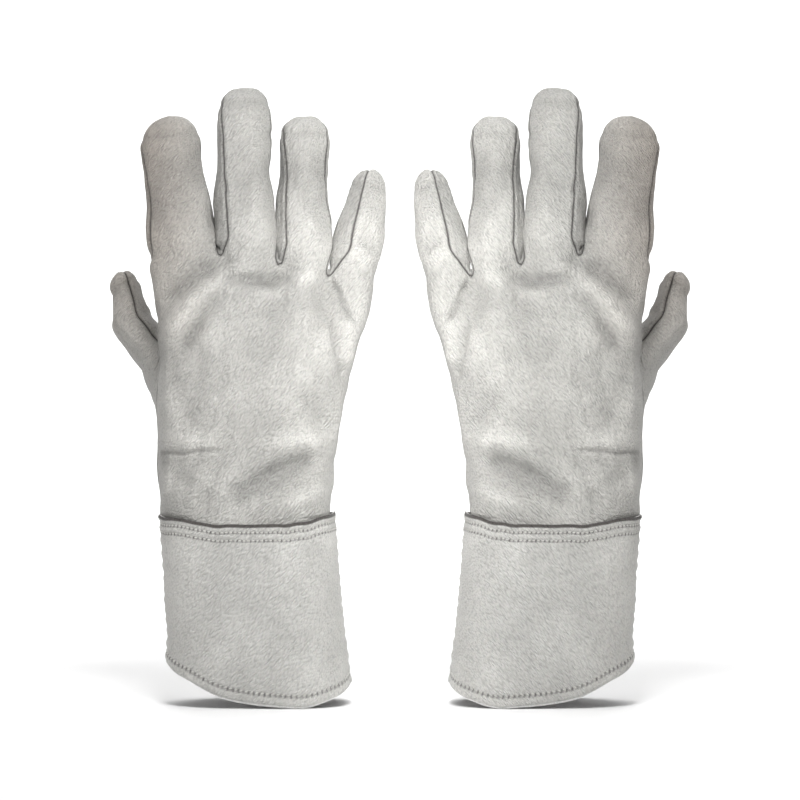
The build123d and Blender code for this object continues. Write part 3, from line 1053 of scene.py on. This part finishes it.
def leather_material(name, tint, grain=1.0):
    """Grain leather with a soft shine, darker grain grooves, dirt and painted shade on the thumb side,
    painted light on the small finger's side, painted shade in hollows and painted light on ridges, and dark
    seams.
    """
    material = bpy.data.materials.new(name)
    tree, shader, add = node_tools(material)
    link = tree.links.new
    rest = add("ShaderNodeAttribute", attribute_name="rest")
    distance, normal = leather_grain(add, link, rest, grain)
    link(normal, shader.inputs["Normal"])
    patch = add("ShaderNodeTexNoise", in_Scale=0.045, in_Detail=5.0, in_Roughness=0.6)
    link(rest.outputs["Vector"], patch.inputs["Vector"])
    tone = add("ShaderNodeValToRGB")
    tone.color_ramp.elements[0].position = 0.3
    tone.color_ramp.elements[0].color = (*[c * 0.9 for c in tint], 1)
    tone.color_ramp.elements[1].position = 0.7
    tone.color_ramp.elements[1].color = (*[min(c * 1.06, 1) for c in tint], 1)
    link(patch.outputs["Fac"], tone.inputs["Fac"])
    hollows = add("ShaderNodeMapRange", in_From_Min=0.35, in_From_Max=0.85, in_To_Min=1.06,
                  in_To_Max=1.06 - 0.28 * grain)
    link(distance, hollows.inputs["Value"])
    grained = add("ShaderNodeMixRGB", blend_type="MULTIPLY", in_Fac=1.0)
    link(tone.outputs["Color"], grained.inputs["Color1"])
    link(hollows.outputs["Result"], grained.inputs["Color2"])

    # dirt and painted shade: the thumb and index side of the upper hand is made darker and browner
    across = add("ShaderNodeSeparateXYZ")
    link(rest.outputs["Vector"], across.inputs["Vector"])
    outer = add("ShaderNodeMapRange", in_From_Min=-14.0, in_From_Max=-60.0, in_To_Min=0.0, in_To_Max=1.0)
    link(across.outputs["X"], outer.inputs["Value"])
    upper = add("ShaderNodeMapRange", in_From_Min=185.0, in_From_Max=262.0, in_To_Min=0.12, in_To_Max=0.95)
    link(across.outputs["Z"], upper.inputs["Value"])
    thumb_side_dirt_and_shade = add("ShaderNodeMath", operation="MULTIPLY")
    link(outer.outputs["Result"], thumb_side_dirt_and_shade.inputs[0])
    link(upper.outputs["Result"], thumb_side_dirt_and_shade.inputs[1])
    dirt_and_shade_mix = add("ShaderNodeMixRGB", blend_type="MULTIPLY", in_Color2=DIRT_AND_SHADE)
    link(thumb_side_dirt_and_shade.outputs["Value"], dirt_and_shade_mix.inputs["Fac"])
    link(grained.outputs["Color"], dirt_and_shade_mix.inputs["Color1"])
    # painted shade and light: the surface is made up to 34% darker in its valleys, tip creases and side
    # strips and up to 15% lighter on its ridges and fingertip caps
    hollow = add("ShaderNodeAttribute", attribute_name="soil")
    relief_shading = add("ShaderNodeMapRange", in_From_Min=-2.4, in_From_Max=2.8, in_To_Min=1.15, in_To_Max=0.66)
    link(hollow.outputs["Fac"], relief_shading.inputs["Value"])
    relief_shaded = add("ShaderNodeMixRGB", blend_type="MULTIPLY", in_Fac=1.0)
    link(dirt_and_shade_mix.outputs["Color"], relief_shaded.inputs["Color1"])
    link(relief_shading.outputs["Result"], relief_shaded.inputs["Color2"])
    # painted light: the small finger's side is made up to 18% lighter, where more light falls
    small_finger_side_light = add("ShaderNodeMapRange", in_From_Min=12.0, in_From_Max=50.0, in_To_Min=1.0, in_To_Max=1.18)
    link(across.outputs["X"], small_finger_side_light.inputs["Value"])
    side_lit = add("ShaderNodeMixRGB", blend_type="MULTIPLY", in_Fac=1.0)
    link(relief_shaded.outputs["Color"], side_lit.inputs["Color1"])
    link(small_finger_side_light.outputs["Result"], side_lit.inputs["Color2"])
    seam = add("ShaderNodeAttribute", attribute_name="seam")
    dark = add("ShaderNodeMixRGB", blend_type="MULTIPLY", in_Color2=SEAM_DARK)
    link(seam.outputs["Fac"], dark.inputs["Fac"])
    link(side_lit.outputs["Color"], dark.inputs["Color1"])
    link(dark.outputs["Color"], shader.inputs["Base Color"])
    shine = add("ShaderNodeMapRange", in_From_Min=0.2, in_From_Max=0.8, in_To_Min=0.42, in_To_Max=0.58)
    link(patch.outputs["Fac"], shine.inputs["Value"])
    link(shine.outputs["Result"], shader.inputs["Roughness"])
    shader.inputs["Specular IOR Level"].default_value = 0.35
    shader.inputs["Sheen Weight"].default_value = 0.08
    return material


def flesh_material():
    """The suede side of the leather, seen in the cuff's mouth and at cut edges."""
    material = bpy.data.materials.new("flesh_side")
    tree, shader, add = node_tools(material)
    rest = add("ShaderNodeAttribute", attribute_name="rest")
    nap = add("ShaderNodeTexNoise", in_Scale=1.6, in_Detail=6.0, in_Roughness=0.75)
    tree.links.new(rest.outputs["Vector"], nap.inputs["Vector"])
    tone = add("ShaderNodeValToRGB")
    tone.color_ramp.elements[0].color = (0.36, 0.35, 0.33, 1)
    tone.color_ramp.elements[1].color = (0.58, 0.57, 0.55, 1)
    tree.links.new(nap.outputs["Fac"], tone.inputs["Fac"])
    tree.links.new(tone.outputs["Color"], shader.inputs["Base Color"])
    bump = add("ShaderNodeBump", in_Strength=0.5, in_Distance=0.0004)
    tree.links.new(nap.outputs["Fac"], bump.inputs["Height"])
    tree.links.new(bump.outputs["Normal"], shader.inputs["Normal"])
    shader.inputs["Roughness"].default_value = 0.9
    shader.inputs["Sheen Weight"].default_value = 0.3
    return material


def thread_material():
    """Twisted thread, a little darker than the leather."""
    material = bpy.data.materials.new("sewing_thread")
    tree, shader, add = node_tools(material)
    rest = add("ShaderNodeAttribute", attribute_name="rest")
    twist = add("ShaderNodeTexWave", in_Scale=2.2, in_Distortion=1.5, bands_direction="DIAGONAL")
    tree.links.new(rest.outputs["Vector"], twist.inputs["Vector"])
    tone = add("ShaderNodeValToRGB")
    tone.color_ramp.elements[0].color = (0.50, 0.49, 0.46, 1)
    tone.color_ramp.elements[1].color = (0.74, 0.73, 0.70, 1)
    tree.links.new(twist.outputs["Fac"], tone.inputs["Fac"])
    tree.links.new(tone.outputs["Color"], shader.inputs["Base Color"])
    bump = add("ShaderNodeBump", in_Strength=0.6, in_Distance=0.0002)
    tree.links.new(twist.outputs["Fac"], bump.inputs["Height"])
    tree.links.new(bump.outputs["Normal"], shader.inputs["Normal"])
    shader.inputs["Roughness"].default_value = 0.7
    return material


# ---- camera, light and floor ----
CAMERA_DISTANCE = 1.6
VIEW_HEIGHT = 0.1715
VIEW_WIDTH = 0.4528


def make_camera():
    """A long lens straight in front of the backs of the gloves."""
    data = bpy.data.cameras.new("camera")
    camera = bpy.data.objects.new("camera", data)
    bpy.context.collection.objects.link(camera)
    data.sensor_width = 36.0
    data.lens = data.sensor_width * CAMERA_DISTANCE / VIEW_WIDTH
    data.clip_end = 20
    camera.location = (0, ORIGIN[1] * MM - CAMERA_DISTANCE, VIEW_HEIGHT)
    camera.rotation_euler = (math.radians(90), 0, 0)
    bpy.context.scene.camera = camera


def make_floor():
    """A pale sweep: floor, rounded corner and wall."""
    turns = np.radians(np.linspace(0, 90, 13))
    radius, wall_y, top = 1.2, 3.4, 4.5
    profile = [(-12.0, 0.0)] + [(wall_y - radius + radius * math.sin(t), radius - radius * math.cos(t))
                               for t in turns] + [(wall_y, top)]
    points = [(x, y, z) for y, z in profile for x in (-12.0, 12.0)]
    faces = [(2 * n, 2 * n + 1, 2 * n + 3, 2 * n + 2) for n in range(len(profile) - 1)]
    mesh = bpy.data.meshes.new("floor")
    mesh.from_pydata(points, [], faces)
    mesh.shade_smooth()
    floor = bpy.data.objects.new("floor", mesh)
    bpy.context.collection.objects.link(floor)
    material = bpy.data.materials.new("floor")
    _, shader, _ = node_tools(material)
    shader.inputs["Base Color"].default_value = (0.93, 0.93, 0.93, 1)
    shader.inputs["Roughness"].default_value = 0.9
    mesh.materials.append(material)


def make_lights():
    """Soft light from above and in front, with a fill on each side and one on the wall."""
    world = bpy.data.worlds.new("world")
    bpy.context.scene.world = world
    world.use_nodes = True
    background = world.node_tree.nodes["Background"]
    background.inputs["Color"].default_value = (1, 1, 1, 1)
    background.inputs["Strength"].default_value = 0.24
    for name, place, target, size, energy in (
        ("key", (0.0, -0.50, 0.90), (0.0, 0.0, 0.17), 0.22, 4.4),
        ("thumb_side", (-0.80, -0.45, 0.20), (0.0, 0.0, 0.17), 0.30, 1.7),
        ("other_thumb_side", (0.80, -0.45, 0.20), (0.0, 0.0, 0.17), 0.30, 1.7),
        ("middle", (0.0, -0.20, 0.24), (0.0, 0.0, 0.20), 0.10, 0.35),
        ("wall", (0.0, 1.6, 2.4), (0.0, 3.2, 0.6), 2.0, 95.0),
        ("top", (0.0, 0.5, 1.9), (0.0, 0.0, 0.1), 1.0, 6.0),
    ):
        data = bpy.data.lights.new(name, "AREA")
        data.energy = energy
        data.size = size
        lamp = bpy.data.objects.new(name, data)
        lamp.location = place
        lamp.rotation_euler = (Vector(target) - Vector(place)).to_track_quat("-Z", "Y").to_euler()
        lamp.visible_camera = False
        bpy.context.collection.objects.link(lamp)


def main():
    surface = hand_surface()
    seams, soil = shaped(surface)
    normals = vertex_normals(surface.points, surface.faces)
    flesh = flesh_material()
    leather = (leather_material("hand_grain", HAND_TINT), flesh)
    cuff_leather = (leather_material("cuff_grain", CUFF_TINT, 0.9), flesh)
    facing = (leather_material("facing_grain", FACING_TINT, 0.5), flesh)
    thread = thread_material()
    for side in SIDES:
        make_hand(side, surface, normals, (seams, soil), leather)
        make_cuff(side, cuff_leather, facing, thread)
    make_camera()
    make_floor()
    make_lights()
    bpy.context.scene.view_settings.view_transform = "Standard"


main()
